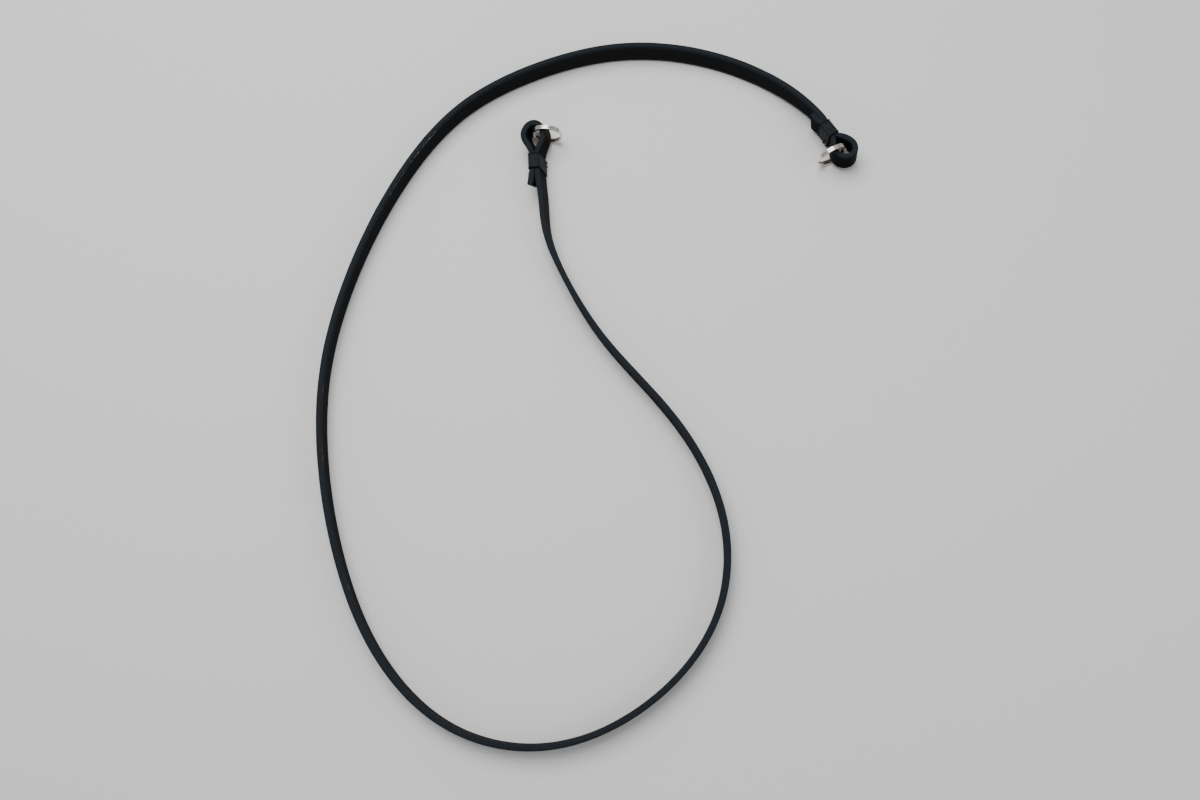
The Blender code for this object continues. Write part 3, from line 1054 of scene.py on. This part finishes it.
def tube_mesh(name, points, radius, material):
    """A round tube along a line, as a plain mesh with its ends closed."""
    line = line_object(name, points, closed=False)
    line.data.bevel_depth = radius
    line.data.bevel_resolution = 3
    line.data.use_fill_caps = True
    line.data.materials.append(material)
    mesh = bpy.data.meshes.new_from_object(line.evaluated_get(bpy.context.evaluated_depsgraph_get()))
    bpy.data.objects.remove(line, do_unlink=True)
    mesh.shade_smooth()
    return mesh


def knot_points(at, outward, size):
    """A small overhand knot of thread that lies against the binding, with two short ends."""
    points = []
    for share in np.linspace(0, 1, KNOT_POINTS):
        turn = share * 2 * math.pi * KNOT_TURNS
        lobe = math.cos(KNOT_LOBES * turn)
        lift = 0.5 + 0.5 * lobe
        radius = size * (0.75 + 0.25 * lobe)
        run = (share - 0.5) * size * 0.9
        points.append((
            at[0] + radius * math.cos(turn) + run,
            at[1] + outward * (KNOT_WIRE + lift * size * 0.55),
            at[2] + radius * math.sin(turn),
        ))
    first, last = np.array(points[0]), np.array(points[-1])
    head = [tuple(first + (-0.4 * size * k, -outward * 0.15 * size * k, 0.55 * size * k)) for k in (3, 2, 1)]
    tail = [tuple(last + (0.3 * size * k, -outward * 0.12 * size * k, -0.6 * size * k)) for k in (1, 2, 3)]
    return head + points + tail


# %% Winding both bindings
MIDDLE_TURNS = 8
RIM_INSET = 0.00036
BINDING_WOBBLE = 0.008
BINDING_SEEDS = {"left": 20, "right": 30}
WINDING_SLANT = 0.035


def binding_place(end):
    """The matrix that puts a piece made in the binding's own frame where the strap has it."""
    lean = math.radians(end.lean)
    height = end_rise() + STRAP_THICKNESS / 2 * abs(math.sin(lean)) + STRAP_WIDTH / 2 * math.cos(lean)
    at = plan_point(end) + MIDDLE_SHIFT
    return Matrix.Translation((*at, height)) @ Matrix.Rotation(math.radians(end.heading), 4, "Z")


def join_meshes(name, meshes):
    """One object from several meshes, with every part in place."""
    pieces = []
    for index, mesh in enumerate(meshes):
        piece = bpy.data.objects.new("%s_%d" % (name, index), mesh)
        bpy.context.scene.collection.objects.link(piece)
        pieces.append(piece)
    with bpy.context.temp_override(active_object=pieces[0], selected_editable_objects=pieces):
        bpy.ops.object.join()
    pieces[0].name = name
    return pieces[0]


def wound_mesh(end, turns, pitch, radius, flatness, material, start, seed):
    line = line_object("turn", turn_line(end, radius))
    mesh = run_tree(line, WOUND_TREE, {
        "Turns": turns,
        "Pitch": pitch,
        "Thread Radius": radius,
        "Flatness": flatness,
        "Slant": WINDING_SLANT,
        "Wobble": BINDING_WOBBLE,
        "Seed": seed,
        "Material": material,
    })
    mesh.transform(Matrix.Translation((start, 0, 0)))
    return mesh


def make_binding(end, seed):
    pitch = (BINDING_LENGTH - 2 * (RIM_INSET + RIM_RADIUS)) / MIDDLE_TURNS
    first = RIM_INSET + RIM_RADIUS + pitch / 2
    meshes = [
        wound_mesh(end, 1, pitch, RIM_RADIUS, 1.0, RIM_THREAD_PAINTED_SHADE, start, seed + index)
        for index, start in enumerate((RIM_INSET, BINDING_LENGTH - RIM_INSET))
    ]
    meshes.append(wound_mesh(
        end, MIDDLE_TURNS, pitch, THREAD_RADIUS, THREAD_FLATNESS, WRAP_THREAD, first, seed + 2))
    across = PINCHED_THICKNESS + PLY_GAP / 2 + 2 * THREAD_RADIUS
    tip = math.tan(math.radians(end.lean)) * end.turn
    for knot in KNOTS:
        at = (BINDING_LENGTH - knot.before_eye, KNOT_SIDE * across + knot.up * tip, knot.up)
        meshes.append(tube_mesh("knot", knot_points(at, KNOT_SIDE, knot.size), KNOT_WIRE, KNOT_THREAD_PAINTED_GLINT))
    for mesh in meshes:
        mesh.transform(binding_place(end))
    piece = join_meshes("thread_binding_" + end.name, meshes)
    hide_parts("binding_" + end.name)
    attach(piece, "root")
    print(piece.name, "faces:", len(piece.data.polygons))


for end in ENDS:
    make_binding(end, BINDING_SEEDS[end.name])

# %% [markdown]
# ## The split rings
#
# A split ring is spring wire of nearly square section, wound twice and pressed flat. The wire steps
# from one turn to the next in a short ramp, and its two ends lie against the ramp. A torus would
# lose all of that, so the wire's section is swept along the real path.

# %% Ring wire
RING_POINTS_PER_TURN = 120
RING_SIDES = 24
WIRE_SQUARENESS = 4.2
RING_TAPER = 0.0016
RING_TIP_SIZE = 0.80


def ring_line():
    """Two flat turns side by side, with one short step from the first to the second."""
    step = math.radians(RING_STEP_DEG)
    line = []
    for angle in np.linspace(step, 4 * math.pi - step, 2 * RING_POINTS_PER_TURN + 1):
        share = (angle - 2 * math.pi + step) / (2 * step)
        aside = (RING_WIRE + RING_COIL_GAP) * (ease(share) - 0.5)
        line.append((angle, aside))
    return line


def wire_section(squareness):
    """A rounded square: a circle whose two parts are raised to a power."""
    points = []
    for turn in np.linspace(0, 2 * math.pi, RING_SIDES, endpoint=False):
        c, s = math.cos(turn), math.sin(turn)
        points.append((
            math.copysign(abs(c) ** (2 / squareness), c) * RING_WIRE / 2,
            math.copysign(abs(s) ** (2 / squareness), s) * RING_WIRE / 2,
        ))
    return points


def make_ring(end):
    line = ring_line()
    section = wire_section(WIRE_SQUARENESS)
    lengths = [abs(angle - line[0][0]) * RING_LINE_RADIUS for angle, _ in line]
    points = []
    for (angle, aside), past in zip(line, lengths):
        to_end = min(past, lengths[-1] - past)
        size = RING_TIP_SIZE + (1 - RING_TIP_SIZE) * ease(to_end / RING_TAPER)
        for outward, along in section:
            radius = RING_LINE_RADIUS + outward * size
            points.append((radius * math.cos(angle), aside + along * size, radius * math.sin(angle)))
    quads = []
    for i in range(len(line) - 1):
        for j in range(RING_SIDES):
            k = (j + 1) % RING_SIDES
            a, b = i * RING_SIDES, (i + 1) * RING_SIDES
            quads.append((a + j, a + k, b + k, b + j))
    last = (len(line) - 1) * RING_SIDES
    quads += [tuple(range(RING_SIDES))[::-1], tuple(last + j for j in range(RING_SIDES))]
    ring = new_mesh_object("ring_" + end.name, points, quads)
    ring.data.transform(ring_place(end))
    return ring


def ring_place(end):
    """Where the ring stands, a little outside the ply that it goes round."""
    ahead_way, aside = eye_frame(end)
    before, at, after = eye_rows(end)[end.ring_row:end.ring_row + 3]
    along = (after - before) / np.linalg.norm(after - before)
    out_at, shift = at + RING_SHIFT * left_of(along) * -1
    plan = plan_point(end) + out_at * ahead_way + shift * aside + MIDDLE_SHIFT
    turned = Matrix.Rotation(math.radians(end.ring_bearing), 4, "Z")
    return Matrix.Translation((*plan, RING_OUTER_RADIUS)) @ turned


# %% [markdown]
# ## Nickel plate
#
# The rings are plated steel with the warm white of worn nickel. A mirror finish would look new, so
# faint clouds dull the colour and the shine, and fine scratches roughen it here and there.

# %% Nickel material
NICKEL = (0.84, 0.78, 0.70, 1)
NICKEL_DULL = (0.62, 0.56, 0.49, 1)
CLOUD_SCALE = 260.0
SCRATCH_SCALE = (900, 900, 9000)
SCRATCH_DEPTH = 0.00001


def nickel_material():
    board = Board("nickel_plate")
    place = board.node("ShaderNodeTexCoord", {}, {}, "Object")
    cloud = board.noise(place, CLOUD_SCALE, 4.0)
    scratch = board.noise(board.mapped(place, SCRATCH_SCALE), 1.0, 2.0)
    color = board.mix(board.band(cloud, 0.48, 0.72), NICKEL, NICKEL_DULL)
    roughness = 0.13 + 0.16 * cloud + 0.10 * board.band(scratch, 0.55, 0.75)
    normal = board.bump(scratch, SCRATCH_DEPTH, 0.25)
    return board.finish(Base_Color=color, Roughness=roughness, Metallic=1.0, Normal=normal)


nickel = nickel_material()
for end in ENDS:
    ring = make_ring(end)
    ring.data.materials.append(nickel)
    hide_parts("split_ring_" + end.name)
    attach(ring, "root")
    print(ring.name, "faces:", len(ring.data.polygons))

# %% [markdown]
# ## Floor and light
#
# A pale, plain floor shows the loop's outline. One wide soft light overhead draws the pale line of
# the upper edge, and a weaker one from the side keeps the faces from going flat.

# %% Floor
FLOOR_SIZE = 6.0
FLOOR_COLOR = (0.74, 0.72, 0.70, 1)


def make_floor():
    bpy.ops.mesh.primitive_plane_add(size=FLOOR_SIZE)
    floor = bpy.context.active_object
    floor.name = "floor"
    board = Board("pale_floor")
    floor.data.materials.append(board.finish(Base_Color=FLOOR_COLOR, Roughness=0.65))


make_floor()

# %% Lights
Lamp = namedtuple("Lamp", "name at size power")
LAMPS = (
    Lamp("overhead", (-0.25, 0.45, 1.05), 0.9, 15.0),
    Lamp("side", (0.95, -0.25, 0.75), 0.6, 2.5),
)
SKY = (0.90, 0.94, 1.0, 1)
SKY_STRENGTH = 0.45


def make_lights():
    for lamp in LAMPS:
        light = bpy.data.lights.new(lamp.name, "AREA")
        light.size = lamp.size
        light.energy = lamp.power
        holder = bpy.data.objects.new(lamp.name, light)
        bpy.context.scene.collection.objects.link(holder)
        holder.location = lamp.at
        holder.rotation_euler = (-Vector(lamp.at)).to_track_quat("-Z", "Y").to_euler()
    world = bpy.data.worlds.new("sky")
    world.use_nodes = True
    background = world.node_tree.nodes["Background"]
    background.inputs["Color"].default_value = SKY
    background.inputs["Strength"].default_value = SKY_STRENGTH
    bpy.context.scene.world = world


make_lights()
print("lamps:", [lamp.name for lamp in LAMPS])
